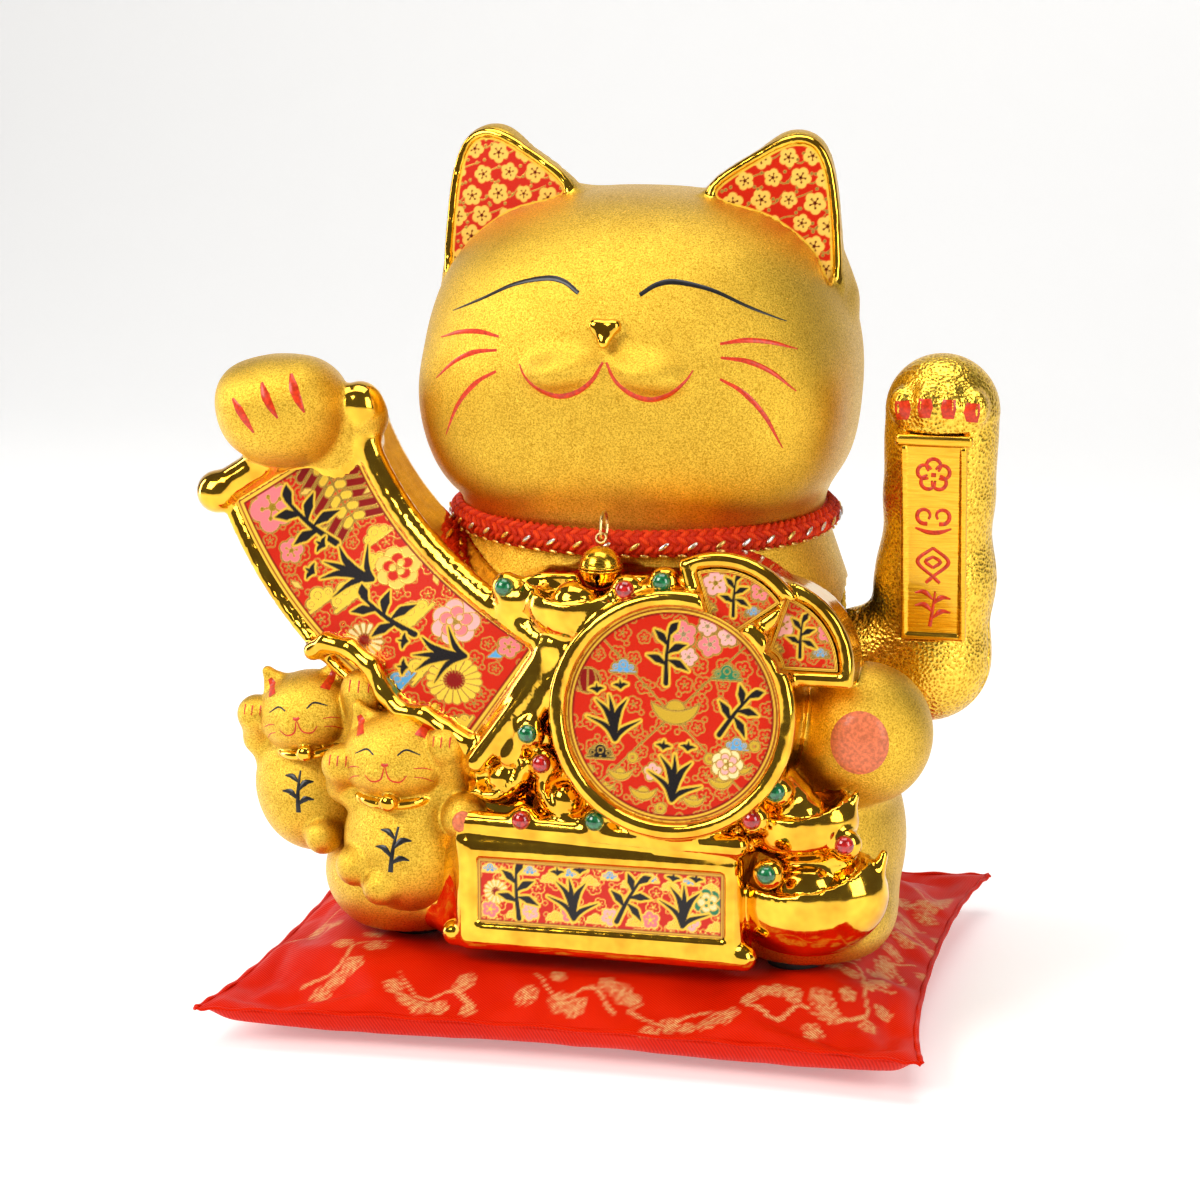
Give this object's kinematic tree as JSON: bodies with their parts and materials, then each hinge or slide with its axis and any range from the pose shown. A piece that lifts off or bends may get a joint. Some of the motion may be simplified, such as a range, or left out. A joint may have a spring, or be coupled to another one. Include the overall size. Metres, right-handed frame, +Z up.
{
  "type": "beckoning cat figurine",
  "caption": "Seated gold cat with a battery-driven swinging arm, a raised arm with a banner, a drum and small kittens, on a sewn brocade cushion.",
  "frame": {"origin": "on the flat underside of the cushion, below the middle of the cat's neck", "axes": "+Z up, the cat faces -Y, +X towards the side of the swinging arm"},
  "size_m": [0.2719, 0.204, 0.3054],
  "materials": {
    "frosted_gold": "gold plate over fine sanded glaze, sparkling satin",
    "bright_gold": "mirror-bright gold plate",
    "arm_gold": "vacuum-plated gold over a hammered texture",
    "decal_red": "printed red and gold decal, glossy",
    "brocade": "red satin brocade with woven pale gold plum blossom",
    "cord_red": "braided red cord with silver and gold thread",
    "filling": "polyester fibre filling",
    "rubber": "matt black rubber",
    "black_plastic": "moulded black plastic",
    "white_plastic": "moulded white plastic",
    "steel": "bright zinc-plated steel",
    "copper": "enamelled copper winding",
    "brass": "polished brass",
    "board_green": "green circuit board",
    "cell_wrap": "plain blue battery wrap",
    "wire_red": "red insulated lead"
  },
  "bodies": {
    "cushion": {"cushion_cover": "brocade", "cushion_filling": "filling"},
    "cat": {"body_shell": "frosted_gold", "ear_decal_left": "decal_red", "ear_decal_right": "decal_red", "banner_decal": "decal_red", "drum_decal": "decal_red", "fan_decal_1": "decal_red", "fan_decal_2": "decal_red", "plaque_decal": "decal_red", "collar_cord": "cord_red", "collar_ring": "brass", "base_plate": "black_plastic", "plate_screw_1": "steel", "plate_screw_2": "steel", "plate_screw_3": "steel", "plate_screw_4": "steel", "rubber_foot_front_right": "rubber", "rubber_foot_front_left": "rubber", "rubber_foot_rear_right": "rubber", "rubber_foot_rear_left": "rubber", "battery_1": "cell_wrap", "battery_2": "cell_wrap", "contact_spring_1": "steel", "contact_spring_2": "steel", "contact_plate_1": "steel", "contact_plate_2": "steel", "switch_body": "steel", "dc_socket": "black_plastic", "mechanism_frame": "white_plastic", "frame_screw_1": "steel", "frame_screw_2": "steel", "axle_bush_inner": "white_plastic", "axle_bush_outer": "white_plastic", "coil_bobbin": "black_plastic", "coil_winding": "copper", "circuit_board": "board_green", "driver_chip": "black_plastic", "capacitor": "black_plastic", "coil_lead": "wire_red", "switch_lead": "wire_red", "socket_lead": "wire_red"},
    "arm": {"arm_front_shell": "arm_gold", "arm_back_shell": "arm_gold", "arm_plate": "bright_gold", "arm_hub": "black_plastic", "arm_screw": "steel", "axle": "steel", "axle_clip": "steel", "axle_screw": "steel", "pendulum_lever": "white_plastic", "counterweight": "steel", "pendulum_magnet": "steel"},
    "bell": {"bell_upper_half": "brass", "bell_lower_half": "brass", "bell_loop": "brass"},
    "pellet": {"bell_pellet": "steel"},
    "door": {"battery_door": "black_plastic"},
    "knob": {"switch_knob": "black_plastic"}
  },
  "joints": [
    {"name": "cat_lift", "type": "slide", "parent": "cushion", "child": "cat", "axis": [0, 0, 1], "range_m": [0, 0.06]},
    {"name": "arm_swing", "type": "hinge", "parent": "cat", "child": "arm", "pos_m": [0.0425, 0, 0.118], "axis": [1, 0, 0], "range_deg": [-16, 16]},
    {"name": "bell_swing", "type": "hinge", "parent": "cat", "child": "bell", "pos_m": [0, -0.0725, 0.1721], "axis": [-1, 0, 0], "range_deg": [0, 30]},
    {"name": "pellet_rattle", "type": "slide", "parent": "bell", "child": "pellet", "axis": [0, 0, 1], "range_m": [0, 0.003]},
    {"name": "battery_door_slide", "type": "slide", "parent": "cat", "child": "door", "axis": [-1, 0, 0], "range_m": [0, 0.058]},
    {"name": "power_switch", "type": "slide", "parent": "cat", "child": "knob", "axis": [1, 0, 0], "range_m": [0, 0.003]}
  ]
}
